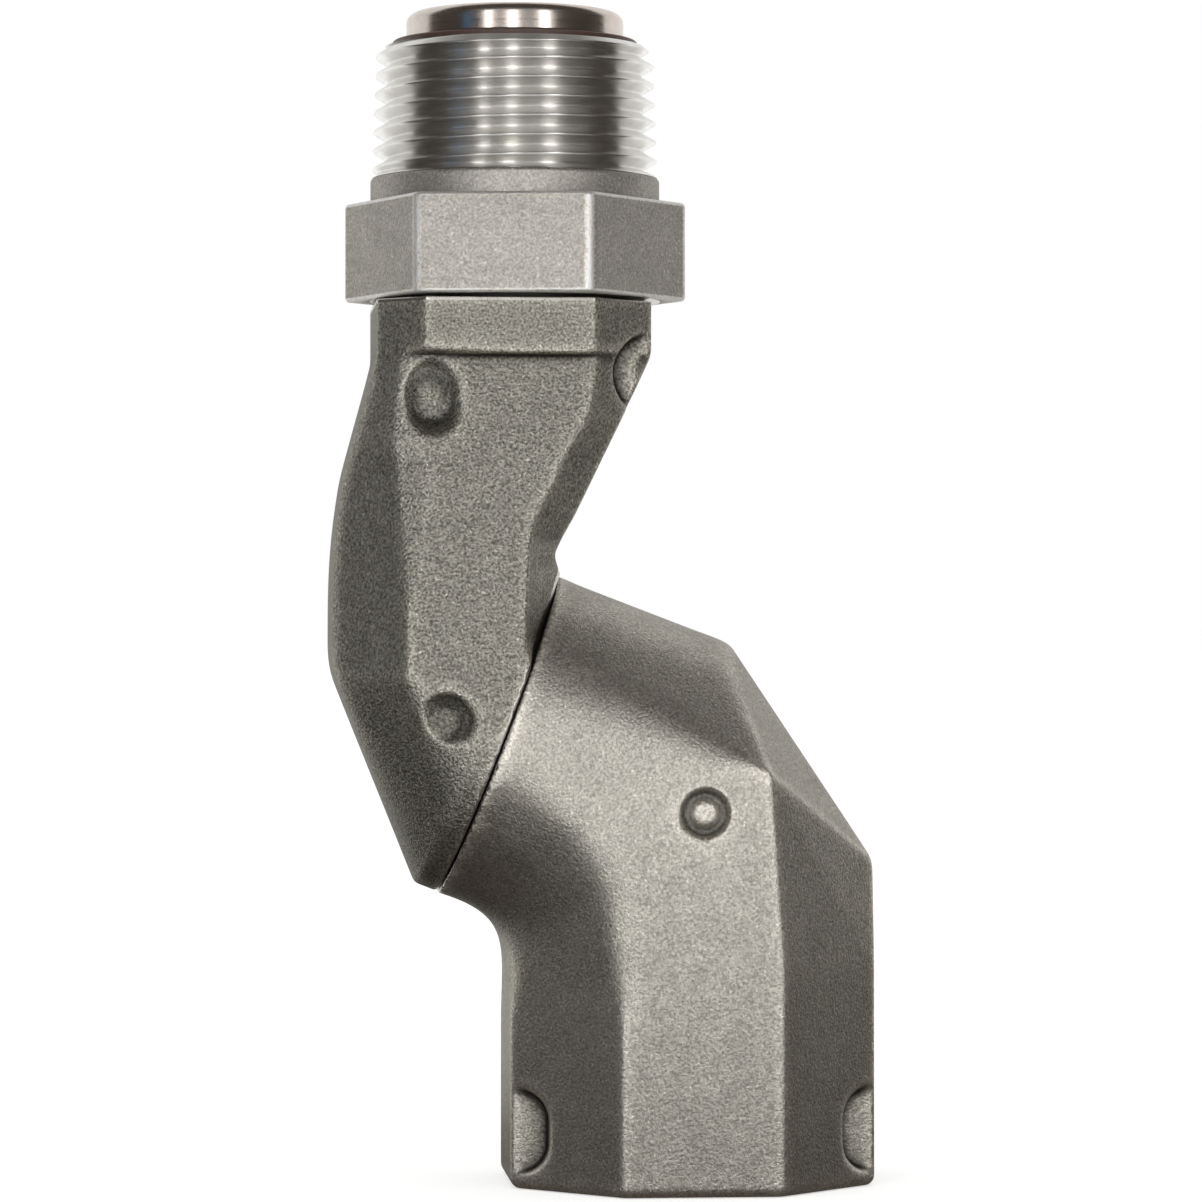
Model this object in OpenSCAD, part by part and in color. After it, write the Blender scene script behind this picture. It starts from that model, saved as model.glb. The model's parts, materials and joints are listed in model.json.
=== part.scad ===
/* [Lower body] */
// Width of the octagonal foot across its flats
foot_af = 42.3; // [41:0.1:45]
// Width of each flat of the foot
foot_flat = 18.2; // [17:0.1:19]
// Height up to which the foot is a straight octagonal prism
foot_straight = 25.8; // [24:0.2:26]
// Small chamfer round the bottom edge of the foot
foot_chamfer = 0.7; // [0.3:0.1:1.5]
// Height at which the outer flat turns into the sloping shoulder
shoulder_z = 37.6; // [33:0.2:39]
// Angle of the sloping shoulder from the vertical
shoulder_lean = 32.5; // [30:0.5:35]
// Sideways lean of the foot's front edges above the straight part
foot_lean = 1.5; // [0.2:0.1:2]
// Rounding at the foot of the sloping shoulder
bend_r = 4; // [2:0.5:6]
// Rounding at the top of the sloping shoulder
peak_r = 5; // [3:0.5:8]
// Height of the front flat's upper right corner
crest_z = 48.1; // [45:0.1:49]
// Fillet in the inner corner under the joint
crook_r = 7; // [4:0.5:8]
// Radius of the female thread, drawn as a plain bore
port_r = 15.2; // [14.6:0.1:15.8]
// Depth of the female thread
port_depth = 20; // [16:0.5:22]
// Radius of the fuel passage in the lower body
lower_passage_r = 9.5; // [8:0.1:9.6]

/* [Inclined joint] */
// Distance of the joint's centre from the port axis
joint_reach = 22.35; // [20:0.05:24]
// Height of the joint's centre above the port face
joint_rise = 52.3; // [50:0.1:54]
// Angle of the swivel axis below the horizontal
joint_tilt = 21; // [18:0.5:24]
// Radius of the two round faces that meet at the joint
joint_r = 19.7; // [18.9:0.1:20]
// Gap between the two castings at the joint
face_gap = 0.3; // [0.2:0.05:0.5]
// Width of the upper body's round rim at the bottom of the joint
rim_w = 2.6; // [2:0.1:4]
// Rounding of the rim's back edge
rim_round = 1.2; // [0.6:0.1:1.6]

/* [Upper body] */
// Distance between the port axis and the inlet axis
inlet_reach = 20.05; // [19:0.05:21]
// Height of the collar's top above the joint's centre
collar_rise = 50; // [48:0.1:52]
// Width of the collar across its flats
collar_w = 31.8; // [31:0.1:34]
// Distance of the collar's centre behind the inlet axis
collar_shift = 0.65; // [0:0.05:1]
// Height of the collar
collar_h = 6.5; // [5:0.1:8]
// Cut across the collar's corners on the heel's side
heel_side_cut = 5.3; // [4.5:0.1:7]
// Cut across the collar's corners on the joint's side
throat_side_cut = 7.1; // [5:0.1:7.5]
// Width of the step under the collar's front and back flats
ledge_step = 1.9; // [1:0.1:2.4]
// Distance of the heel's wall from the joint's centre
heel_reach = 19.4; // [18.8:0.1:22]
// Height of the heel's lower corner above the joint's centre
heel_rise = 7.7; // [6:0.1:9]
// Rounding of the heel's lower corner
heel_r = 8; // [4:0.5:10]
// Height above the joint's centre at which the heel's wall starts to curve in
back_curve_rise = 15.1; // [12:0.1:18]
// Width of the slanted flats along the heel
heel_flat = 7.7; // [6:0.1:11]
// Height of the short upright wall over the joint's upper end
crotch_h = 2.3; // [1:0.1:4]
// Width of the slanted flats over the joint, measured under the collar
throat_flat = 6.2; // [5:0.1:7]
// Width of the same flats at the joint's upper end
crotch_flat = 3.8; // [3:0.1:4.4]
// Depth of the same flats at the joint's upper end
crotch_deep = 9.5; // [4:0.1:11]
// Distance of the upright wall behind the joint's upper end
crotch_in = 0.8; // [0:0.05:1]
// Radius of the fuel passage in the upper body
upper_passage_r = 8; // [7:0.1:8.2]
// Distance of the passage's knee from the heel's wall
knee_wall = 12.5; // [12:0.1:14]
// Height of the passage's knee above the joint's centre
knee_rise = 17.1; // [15:0.1:19]

/* [Casting marks] */
// Radius of the round casting marks
mark_r = 3.3; // [2.5:0.1:4]
// Depth of the casting marks
mark_depth = 1.3; // [0.6:0.1:1.8]
// Distance of the upper body's round mark from the joint's face
round_mark_back = 6.8; // [5:0.1:8]
// Distance of the same mark below the swivel axis
round_mark_drop = 0.6; // [0:0.1:1]
// Distance of the lower body's ring mark past the port axis
ring_mark_past = 0.5; // [0:0.1:4]
// Radius of the ring mark
ring_mark_r = 3; // [2:0.1:4]
// Width of the ring mark's groove
ring_mark_w = 1.2; // [0.8:0.1:1.5]
// Distance of the oval mark from the inlet axis
oval_mark_reach = 10.4; // [8:0.1:11]
// Height of the oval mark above the joint's centre
oval_mark_rise = 38.7; // [36:0.1:41]
// Difference between the oval mark's height and its width
oval_mark_stretch = 1.6; // [0.8:0.1:2.5]
// Radius of the round pad beside the collar
collar_pad_r = 4.75; // [3.5:0.05:5.5]
// Distance of the collar pad's centre under the collar's top
collar_pad_drop = 8.5; // [6:0.1:9]
// Height of the two pads at the foot
foot_pad_h = 9.8; // [7:0.1:12]
// Distance of the foot pads above the port face
foot_pad_lift = 1.8; // [0.9:0.1:2]
// Width of the foot pads, measured in from the side flats
foot_pad_w = 4.3; // [3:0.1:5]
// Rounding of the foot pads' inner corners
foot_pad_r = 3.6; // [2:0.1:4.4]
// Distance of the pads' floors in front of the side flats' edges
pad_rise = 0.3; // [0.1:0.1:2]

/* [Inlet stem] */
// Radius of the inlet stem's shank
stem_r = 10.6; // [10.2:0.05:10.8]
// Radius of the bore through the inlet stem
stem_bore_r = 8; // [7:0.1:8.2]
// Radius of the polished head
head_r = 12.7; // [12.3:0.1:14]
// Height of the polished head
head_h = 3.3; // [2.5:0.1:4]
// Rounding of the head's top edge
head_round = 1.2; // [0.4:0.1:1.6]
// Length of the stem's thread in the upper body
stem_thread = 12.9; // [10:0.1:14]
// Width across flats of the broached key hole in a stem
key_af = 16.9; // [16.8:0.1:17.4]
// Depth of the broached key hole
key_depth = 4.2; // [3:0.1:5]

/* [Male connector] */
// Gap between the hexagon and the collar
hex_gap = 0.4; // [0.3:0.05:0.6]
// Width of the hexagon across flats
hex_af = 34.9; // [34:0.1:38]
// Height of the hexagon
hex_h = 11.5; // [10:0.1:14]
// Turn of the hexagon about the inlet axis
hex_turn = -8; // [-30:1:30]
// Radius of the male thread over its crests
thread_r = 16.7; // [16.3:0.05:17]
// Length of the male thread
thread_l = 15.4; // [15:0.1:18]
// Extra radius of the cast shoulder under the thread
shoulder_extra = 0.2; // [0:0.05:0.3]
// Height of the cast shoulder under the thread
shoulder_h = 2.8; // [2.4:0.1:4]
// Distance between the thread's crests
thread_pitch = 2.2; // [2:0.05:2.4]
// Depth of the thread, drawn as plain rings
thread_depth = 1.3; // [0.8:0.1:1.4]
// Width of the thread's crests
crest_w = 0.5; // [0.3:0.05:0.8]
// Width of the chamfer at the thread's end
thread_lead = 1.5; // [0.8:0.1:1.8]
// Thickness of the washer under the polished head
head_washer_t = 0.7; // [0.5:0.1:1.2]
// Radius of the washer under the polished head
head_washer_r = 14.3; // [13.8:0.1:14.6]

/* [Elbow stem] */
// Radius of the elbow stem's shank
elbow_stem_r = 12; // [11.8:0.05:12.1]
// Radius of the bore through the elbow stem
elbow_bore_r = 8.4; // [7.5:0.1:8.4]
// Length of the elbow stem's thread in the upper body
elbow_thread = 5.5; // [4.5:0.1:5.8]
// Length of the elbow stem inside the lower body
elbow_stem_l = 17.8; // [17.6:0.1:18.2]
// Radius of the socket that the elbow stem's seals run in
seal_bore_r = 12.6; // [12.4:0.05:12.7]
// Metal between the retaining ring and the groove of the outer O-ring
ring_land = 1.1; // [0.9:0.1:1.3]
// Thickness of the retaining ring
ring_t = 1.6; // [1.2:0.1:1.7]
// Depth of the retaining ring's groove in the elbow stem
ring_bite = 1; // [0.6:0.1:1.4]
// Width of the retaining ring's gap
ring_gap = 6; // [4:0.5:10]

/* [Seals and bearings] */
// Wall thickness of the bushings
bushing_wall = 1.9; // [1.5:0.1:2]
// Room between the bushing in the inclined joint and the retaining ring
ring_room = 0.6; // [0.3:0.1:1]
// Length of the bushing under the connector's hexagon
lower_bushing_l = 5; // [4:0.1:5.5]
// Length of the bushing inside the male thread
upper_bushing_l = 11; // [8:0.1:11.5]
// Thickness of the two thrust washers
thrust_t = 1.4; // [1.2:0.1:1.6]
// Width of the connector's thrust washer
connector_thrust_w = 2.5; // [2:0.1:2.6]
// Width of the elbow's thrust washer
elbow_thrust_w = 3.4; // [2.4:0.1:3.5]
// Width of the dust seals
dust_w = 1.3; // [1:0.1:1.4]
// Solid metal left between a thrust washer and its dust seal
dust_wall = 0.6; // [0.4:0.1:0.7]
// Section diameter of the running O-rings
oring_d = 2.2; // [2:0.05:2.3]
// Section diameter of the static O-rings
static_oring_d = 1.8; // [1.5:0.05:2]
// Thickness of the backup rings
backup_t = 1.3; // [1:0.1:1.5]
// Metal between two neighbouring seal grooves
land_w = 0.9; // [0.7:0.05:1.2]

/* [Clearances] */
// Running clearance between a stem and what turns on it
run_gap = 0.05; // [0.03:0.01:0.08]
// Clearance of pieces that are pressed or screwed in place
seat_gap = 0.02; // [0.01:0.01:0.04]
// Clearance beside a seal in its groove
groove_gap = 0.2; // [0.1:0.05:0.3]

/* [Hidden] */
$fn = 64;
eps = 0.02;
// Extra radius of the ball at a bend of a passage
knuckle = 0.1;
// Reach of a front outline past the round face that it runs to
spare = 0.05;
// Size of cuts that run out of the part
far = 60;
// Overlap of two shapes that are joined into one
slab = 0.5;
cast_lower = [0.64, 0.63, 0.60];
cast_upper = [0.53, 0.52, 0.49];
machined = [0.78, 0.78, 0.78];
polished = [0.86, 0.84, 0.80];
acetal = [0.35, 0.22, 0.15];
rubber = [0.09, 0.09, 0.09];
ptfe = [0.93, 0.92, 0.88];

joint_x = -joint_reach;
inlet_x = -inlet_reach;
collar_top = joint_rise + collar_rise;
ledge_z = collar_top - collar_h;
collar_half = collar_w / 2;
throat_top = inlet_x - collar_shift + collar_half;
ledge_half = collar_half - ledge_step;
heel_x = joint_x - heel_reach;
back_curve_z = joint_rise + back_curve_rise;
knee = [heel_x + knee_wall, joint_rise + knee_rise];
foot_cut = octagon_cut(foot_af);
foot_edge = foot_flat / 2;
cross_u = joint_reach / cos(joint_tilt);
cross_z = joint_rise - joint_reach * tan(joint_tilt);
hex_r = hex_af / 2 / cos(30);
hex_z = collar_top + hex_gap;
shoulder_base = hex_z + hex_h;
thread_base = shoulder_base + shoulder_h;
connector_top = thread_base + thread_l;
head_base = connector_top + head_washer_t;
stem_top = head_base + head_h;
oring_depth = oring_d + seat_gap + run_gap;
oring_w = oring_d + groove_gap;
pair_w = oring_w + backup_t + groove_gap;
thrust_top = collar_top + thrust_t;
connector_thrust_r = stem_r + groove_gap + connector_thrust_w;
connector_dust_r = connector_thrust_r + dust_wall;
connector_groove_r = stem_r + oring_depth;
lower_oring_z = thrust_top + lower_bushing_l + land_w;
upper_pair_z = lower_oring_z + oring_w + land_w;
upper_bushing_z = connector_top - upper_bushing_l;
elbow_groove_r = seal_bore_r - oring_depth;
elbow_thrust_r = elbow_stem_r + groove_gap + elbow_thrust_w;
elbow_dust_r = elbow_thrust_r + dust_wall;
elbow_bushing_r = elbow_stem_r + bushing_wall;
elbow_ring_r = elbow_bushing_r + ring_bite;
inner_pair_u = elbow_stem_l - land_w - pair_w;
outer_oring_u = inner_pair_u - land_w - oring_w;
ring_place = outer_oring_u - ring_land - ring_t;
passage_end_u = -elbow_thread - slab;
static_depth = static_oring_d + groove_gap / 2;
static_h = static_oring_d + seat_gap;

// Point of the front outline at a distance along the swivel axis and a height above it
function swivel_point(along, above) = [
    joint_x + along * cos(joint_tilt) + above * sin(joint_tilt),
    joint_rise - along * sin(joint_tilt) + above * cos(joint_tilt)
];

// Arc of radius r that rounds corner b between points a and c
function round_corner(a, b, c, r, steps = 6) =
    let (
        to_a = (a - b) / norm(a - b),
        to_c = (c - b) / norm(c - b),
        half = acos(to_a * to_c) / 2,
        centre = b + (to_a + to_c) / norm(to_a + to_c) * r / sin(half),
        from = b + to_a * r / tan(half) - centre,
        to = b + to_c * r / tan(half) - centre,
        start = atan2(from[1], from[0]),
        turn = atan2(from[0] * to[1] - from[1] * to[0], from * to)
    )
    [for (i = [0 : steps]) centre + r * [cos(start + turn * i / steps), sin(start + turn * i / steps)]];

// Box outline with cut corners, at 45 degrees unless the right ones get a depth of their own
function cut_box(left, right, half, left_cut, right_cut, right_deep = undef) =
    let (deep = is_undef(right_deep) ? right_cut : right_deep)
    [
        [left + left_cut, -half], [right - right_cut, -half],
        [right, deep - half], [right, half - deep],
        [right - right_cut, half], [left + left_cut, half],
        [left, half - left_cut], [left, left_cut - half]
    ];

function octagon_cut(af) = (af - foot_flat) / 2;
function foot_outline(af) = cut_box(-af / 2, af / 2, af / 2, octagon_cut(af), octagon_cut(af));

// Half depth of the neck at a height: it grows evenly from the ledge to the joint
function neck_half(z) = ledge_half + (joint_r - ledge_half) * (ledge_z - z) / (ledge_z - joint_rise);

// Heel wall: one arc that leaves the wall upright and ends at the collar
back_in = throat_top - collar_w - heel_x;
back_up = ledge_z - back_curve_z;
back_r = (back_in * back_in + back_up * back_up) / (2 * back_in);
back_angle = asin(back_up / back_r);
function back_point(angle) = [heel_x + back_r * (1 - cos(angle)), back_curve_z + back_r * sin(angle)];

// Place children on the swivel axis, with +Z running into the lower body
module on_swivel() {
    translate([joint_x, 0, joint_rise]) rotate([0, 90 + joint_tilt, 0]) children();
}

// Place children on the inlet axis
module on_inlet() {
    translate([inlet_x, 0, 0]) children();
}

// Solid with the given front outline
module front_solid(points, depth = far) {
    rotate([90, 0, 0]) linear_extrude(2 * depth, center = true) polygon(points);
}

// Cut with the given front outline, open to the front, with its floor at y = -floor_at
module front_cut(points, floor_at) {
    translate([0, -floor_at, 0]) rotate([90, 0, 0]) linear_extrude(far) polygon(points);
}

// Round bar between two points of the front outline
module bar(from, to, r) {
    way = to - from;
    translate([from[0], 0, from[1]])
        rotate([0, atan2(way[0], way[1]), 0]) cylinder(r = r, h = norm(way));
}

module ball(at, r) {
    translate([at[0], 0, at[1]]) sphere(r = r);
}

// Flat ring between two heights
module ring(inner, outer, base, top) {
    translate([0, 0, base]) difference() {
        cylinder(r = outer, h = top - base);
        translate([0, 0, -eps]) cylinder(r = inner, h = top - base + 2 * eps);
    }
}

// Round-section ring around a stem
module oring(inner, section, middle) {
    translate([0, 0, middle]) rotate_extrude() translate([inner + section / 2, 0]) circle(d = section);
}

// Round hole or groove between two heights
module hole(r, base, top) {
    translate([0, 0, base]) cylinder(r = r, h = top - base);
}

// Broached hexagonal key hole
module key_hole(base, top) {
    translate([0, 0, base]) cylinder(r = key_af / 2 / cos(30), h = top - base, $fn = 6);
}

// Front outline of the lower body: the joint's line, the sloping shoulder and the crook
top_end = swivel_point(face_gap, joint_r + spare);
low_end = swivel_point(face_gap, -joint_r - spare);
foot_half = foot_af / 2;
shoulder_bend = [foot_half, shoulder_z];
shoulder_way = [-sin(shoulder_lean), cos(shoulder_lean)];
shoulder_gap = top_end - shoulder_bend;
shoulder_run = (shoulder_gap[0] * sin(joint_tilt) + shoulder_gap[1] * cos(joint_tilt))
    / (shoulder_way[0] * sin(joint_tilt) + shoulder_way[1] * cos(joint_tilt));
peak = shoulder_bend + shoulder_way * shoulder_run;
peak_u = (peak[0] - joint_x) * cos(joint_tilt) - (peak[1] - joint_rise) * sin(joint_tilt);
crook = [-foot_half, low_end[1] - (-foot_half - low_end[0]) * tan(joint_tilt)];

module lower_outline() {
    front_solid(concat(
        [[-foot_half, 0], [foot_half, 0]],
        round_corner([foot_half, 0], shoulder_bend, peak, bend_r),
        round_corner(shoulder_bend, peak, top_end, peak_r),
        [top_end, low_end],
        round_corner(low_end, crook, [-foot_half, 0], crook_r)
    ));
}

// Straight octagonal foot with a chamfered bottom edge
module foot() {
    translate([0, 0, foot_chamfer])
        linear_extrude(foot_straight - foot_chamfer) polygon(foot_outline(foot_af));
    hull() {
        linear_extrude(eps) polygon(foot_outline(foot_af - 2 * foot_chamfer));
        translate([0, 0, foot_chamfer]) linear_extrude(eps) polygon(foot_outline(foot_af));
    }
}

// Bend under the joint: its sections swing about the crook's centre, from the foot's octagon to a circle
crook_at = crook + crook_r * ([-1, 0] + [-sin(joint_tilt), -cos(joint_tilt)]) / (1 + sin(joint_tilt));
crook_swing = 90 - joint_tilt;
crook_wrap = 66;
crook_steps = 3;
crook_room = 0.15;
function octagon_reach(angle) = min(foot_half / cos(angle), (foot_half + foot_edge) * cos(45) / cos(45 - abs(angle)));
function crook_section(share) =
    let (
        rim = [for (angle = [-crook_wrap : crook_wrap / 6 : crook_wrap])
            let (r = octagon_reach(angle) * (1 - share) + joint_r * share + crook_room)
            [crook_r + foot_half * (1 - share) + joint_r * share - r * cos(angle), r * sin(angle)]],
        flare = 45 + (crook_wrap - 45) * share,
        off = far * [sin(flare), cos(flare)]
    )
    concat([rim[0] + [off[0], -off[1]]], rim, [rim[12] + off]);

module crook_level(share, base, h) {
    translate([crook_at[0], 0, crook_at[1]]) rotate([0, -crook_swing * share, 0])
        translate([0, 0, base]) linear_extrude(h) polygon(crook_section(share));
}

module crook_bend() {
    for (i = [0 : crook_steps - 1]) hull() {
        crook_level(i / crook_steps, i == 0 ? -slab : 0, i == 0 ? slab : eps);
        crook_level((i + 1) / crook_steps, 0, eps);
    }
    crook_level(1, -knuckle, far);
}

// Loft from the round joint end to the octagonal foot
module shoulder_loft() {
    hull() {
        on_swivel() hole(joint_r, face_gap - slab, peak_u);
        translate([0, 0, foot_straight - slab]) linear_extrude(slab) polygon(foot_outline(foot_af));
        intersection() {
            translate([0, 0, foot_straight]) linear_extrude(far)
                polygon(cut_box(-foot_half, foot_half, foot_half, foot_cut - foot_lean, foot_cut + foot_lean));
            front_solid([
                [-foot_half, foot_straight], [foot_half, foot_straight], shoulder_bend,
                [foot_edge - foot_lean, crest_z], [-foot_edge - foot_lean, shoulder_z + foot_lean],
                [-foot_half, foot_straight + crook_r / 2]
            ]);
        }
    }
}

// Room for everything that turns on the swivel axis inside the lower body
module lower_socket() {
    on_swivel() {
        hole(elbow_thrust_r + seat_gap, 0, thrust_t);
        ring(elbow_dust_r, elbow_dust_r + dust_w + seat_gap, 0, thrust_t);
        hole(elbow_bushing_r, 0, ring_place + ring_t + land_w / 2);
        hole(elbow_bushing_r + ring_bite + seat_gap, ring_place - seat_gap, ring_place + ring_t + seat_gap);
        hole(seal_bore_r, 0, elbow_stem_l + groove_gap);
        hole(lower_passage_r, 0, cross_u);
    }
}

module lower_port() {
    hole(port_r, -eps, port_depth);
    translate([0, 0, port_depth - eps])
        cylinder(r1 = port_r, r2 = lower_passage_r, h = (port_r - lower_passage_r) / 2 + eps);
    hole(lower_passage_r, 0, cross_z);
    ball([0, cross_z], lower_passage_r + knuckle);
}

// Half-round pads cut into the slanted flats at the foot
module foot_pads() {
    low = foot_pad_lift;
    high = foot_pad_lift + foot_pad_h;
    inner = foot_half - foot_pad_w;
    outer = foot_half + slab;
    for (side = [0, 1]) mirror([side, 0, 0]) front_cut(concat(
        [[outer, low], [outer, high]],
        round_corner([outer, high], [inner, high], [inner, low], foot_pad_r),
        round_corner([inner, high], [inner, low], [outer, low], foot_pad_r)
    ), foot_edge + pad_rise);
}

module ring_mark() {
    at = swivel_point(cross_u + ring_mark_past, 0);
    translate([at[0], mark_depth / 2 - foot_half, at[1]]) rotate([90, 0, 0])
        ring(ring_mark_r - ring_mark_w, ring_mark_r, 0, far);
}

module lower_body() {
    color(cast_lower) difference() {
        union() {
            foot();
            intersection() {
                shoulder_loft();
                lower_outline();
                crook_bend();
            }
        }
        lower_socket();
        lower_port();
        foot_pads();
        ring_mark();
    }
}

// Front outline of the neck between the collar and the joint
upper_top_end = swivel_point(0, joint_r + spare);
upper_low_end = swivel_point(0, -joint_r - spare);
rim_end = swivel_point(-rim_w, -joint_r - spare);
crotch = [upper_top_end[0] - crotch_in, upper_top_end[1] + crotch_h];
heel = [heel_x, joint_rise + heel_rise];
function throat_x(z) = crotch[0] + (throat_top - crotch[0]) * (z - crotch[1]) / (ledge_z - crotch[1]);

module neck_outline() {
    front_solid(concat(
        [[throat_top, ledge_z + slab], [throat_top, ledge_z], crotch, upper_top_end, upper_low_end],
        round_corner(upper_low_end, rim_end, heel, rim_round),
        round_corner(rim_end, heel, [heel_x, back_curve_z], heel_r),
        [for (i = [0 : 10]) back_point(back_angle * i / 10)],
        [[throat_top - collar_w, ledge_z + slab]]
    ));
}

// One level of the neck: an outline with slanted flats, a hair thick
module neck_level(z, left, right, left_cut, right_cut, right_deep = undef) {
    translate([0, 0, z]) linear_extrude(eps)
        polygon(cut_box(left, right, neck_half(z), left_cut, right_cut, right_deep));
}

// Loft from the squared collar through the heel to the round joint face
module neck_loft() {
    bulge = back_point(back_angle / 2);
    heel_edge = heel_x + heel_flat;
    hull() {
        on_swivel() hole(joint_r, -rim_w, slab);
        neck_level(ledge_z, throat_top - collar_w, throat_top, heel_side_cut - ledge_step, throat_flat);
        neck_level(bulge[1], bulge[0], throat_x(bulge[1]),
            (heel_side_cut - ledge_step + heel_flat) / 2, (throat_flat + crotch_flat) / 2);
        neck_level(crotch[1], back_point(0)[0], crotch[0], heel_flat, crotch_flat, crotch_deep);
        neck_level(back_curve_z, heel_x, heel_edge + slab, heel_flat, slab / 2);
        neck_level(heel[1], heel_x, heel_edge + slab, heel_flat, slab / 2);
    }
}

module collar() {
    translate([inlet_x - collar_shift, 0, ledge_z]) linear_extrude(collar_h)
        polygon(cut_box(-collar_half, collar_half, collar_half, heel_side_cut, throat_side_cut));
}

// Fuel passage: down from the inlet stem, round the knee and out through the elbow stem
module upper_passage() {
    bend = swivel_point(passage_end_u, 0);
    bar([inlet_x, collar_top - stem_thread], knee, upper_passage_r);
    ball([inlet_x, collar_top - stem_thread], upper_passage_r + knuckle);
    ball(knee, upper_passage_r + knuckle);
    bar(knee, bend, upper_passage_r);
    ball(bend, upper_passage_r + knuckle);
    on_swivel() hole(upper_passage_r, passage_end_u, 0);
}

module upper_sockets() {
    on_inlet() {
        hole(stem_r + seat_gap, collar_top - stem_thread - groove_gap, collar_top + eps);
        hole(stem_r + static_depth, collar_top - static_h, collar_top + eps);
    }
    on_swivel() {
        hole(elbow_stem_r + seat_gap, -elbow_thread - groove_gap, eps);
        hole(elbow_stem_r + static_depth, -static_h, eps);
    }
}

// Oval mark beside the collar's ledge, with sloping walls
module oval_mark() {
    x = inlet_x - oval_mark_reach;
    z = joint_rise + oval_mark_rise;
    front = neck_half(z);
    for (shift = [-0.5, 0.5])
        translate([x, mark_depth - front, z + shift * oval_mark_stretch]) rotate([90, 0, 0])
            cylinder(r1 = mark_r - mark_depth, r2 = mark_r + mark_depth, h = 2 * mark_depth);
}

// Hollow round mark on the swivel axis
module round_mark() {
    at = swivel_point(-round_mark_back, -round_mark_drop);
    bowl_r = (mark_r * mark_r + mark_depth * mark_depth) / (2 * mark_depth);
    translate([at[0], mark_depth - neck_half(at[1]) - bowl_r, at[1]]) sphere(r = bowl_r);
}

// Round pad with a flat floor, cut across the corner under the collar
module collar_pad() {
    translate([throat_top, throat_side_cut - collar_half - pad_rise, collar_top - collar_pad_drop])
        rotate([90, 0, 0]) cylinder(r = collar_pad_r, h = far);
}

module upper_body() {
    color(cast_upper) difference() {
        union() {
            collar();
            intersection() {
                neck_loft();
                neck_outline();
            }
        }
        upper_passage();
        upper_sockets();
        oval_mark();
        round_mark();
        collar_pad();
    }
}

// Hollow stem that is screwed into the upper body and carries the lower body
module elbow_stem() {
    color(machined) on_swivel() difference() {
        hole(elbow_stem_r, -elbow_thread, elbow_stem_l);
        hole(elbow_bore_r, -elbow_thread - eps, elbow_stem_l + eps);
        key_hole(elbow_stem_l - key_depth, elbow_stem_l + eps);
        ring(elbow_stem_r - ring_bite, elbow_stem_r + eps, ring_place - groove_gap, ring_place + ring_t + groove_gap);
        ring(elbow_groove_r, elbow_stem_r + eps, outer_oring_u, outer_oring_u + oring_w);
        ring(elbow_groove_r, elbow_stem_r + eps, inner_pair_u, inner_pair_u + pair_w);
    }
}

module elbow_static_oring() {
    color(rubber) on_swivel() oring(elbow_stem_r + seat_gap, static_oring_d, -static_h / 2);
}

module elbow_outer_oring() {
    color(rubber) on_swivel() oring(elbow_groove_r + seat_gap, oring_d, outer_oring_u + oring_w / 2);
}

module elbow_inner_oring() {
    color(rubber) on_swivel()
        oring(elbow_groove_r + seat_gap, oring_d, inner_pair_u + pair_w - oring_w / 2);
}

module elbow_backup_ring() {
    color(ptfe) on_swivel()
        ring(elbow_groove_r + seat_gap, seal_bore_r - run_gap, inner_pair_u + seat_gap, inner_pair_u + backup_t);
}

module elbow_bushing() {
    color(acetal) on_swivel() ring(elbow_stem_r + run_gap, elbow_bushing_r - seat_gap, thrust_t,
        ring_place - ring_room);
}

module elbow_thrust_washer() {
    color(acetal) on_swivel() ring(elbow_stem_r + groove_gap, elbow_thrust_r, 0, thrust_t);
}

module elbow_dust_seal() {
    color(rubber) on_swivel() ring(elbow_dust_r + seat_gap, elbow_dust_r + dust_w, 0, thrust_t);
}

// Spring ring, open on one side, that snaps into a groove of the socket
module elbow_retaining_ring() {
    color(machined) on_swivel() difference() {
        ring(elbow_stem_r - ring_bite + groove_gap, elbow_bushing_r + ring_bite, ring_place, ring_place + ring_t);
        translate([0, -ring_gap / 2, ring_place - eps]) cube([far, ring_gap, ring_t + 2 * eps]);
    }
}

// Hollow stem with the polished head, screwed into the collar
module inlet_stem() {
    color(polished) on_inlet() difference() {
        union() {
            hole(stem_r, collar_top - stem_thread, head_base);
            translate([0, 0, head_base]) rotate_extrude() polygon(concat(
                [[0, 0], [head_r, 0]],
                round_corner([head_r, 0], [head_r, head_h], [0, head_h], head_round),
                [[0, head_h]]
            ));
        }
        hole(stem_bore_r, collar_top - stem_thread - eps, stem_top + eps);
        key_hole(stem_top - key_depth, stem_top + eps);
    }
}

module inlet_static_oring() {
    color(rubber) on_inlet() oring(stem_r + seat_gap, static_oring_d, collar_top - static_h / 2);
}

// Half outline of the male thread: a lead-in chamfer, then V grooves down to the shoulder
crest_count = floor((thread_l - thread_lead - crest_w) / thread_pitch);
function crest_top(i) = connector_top - thread_lead - i * thread_pitch;
function thread_outline() = concat(
    [[0, connector_top], [thread_r - thread_lead, connector_top]],
    [for (i = [0 : crest_count - 1]) each [
        [thread_r, crest_top(i)], [thread_r, crest_top(i) - crest_w],
        [thread_r - thread_depth, (crest_top(i) - crest_w + crest_top(i + 1)) / 2]
    ]],
    [[thread_r, crest_top(crest_count)], [thread_r, thread_base - slab], [0, thread_base - slab]]
);

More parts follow.
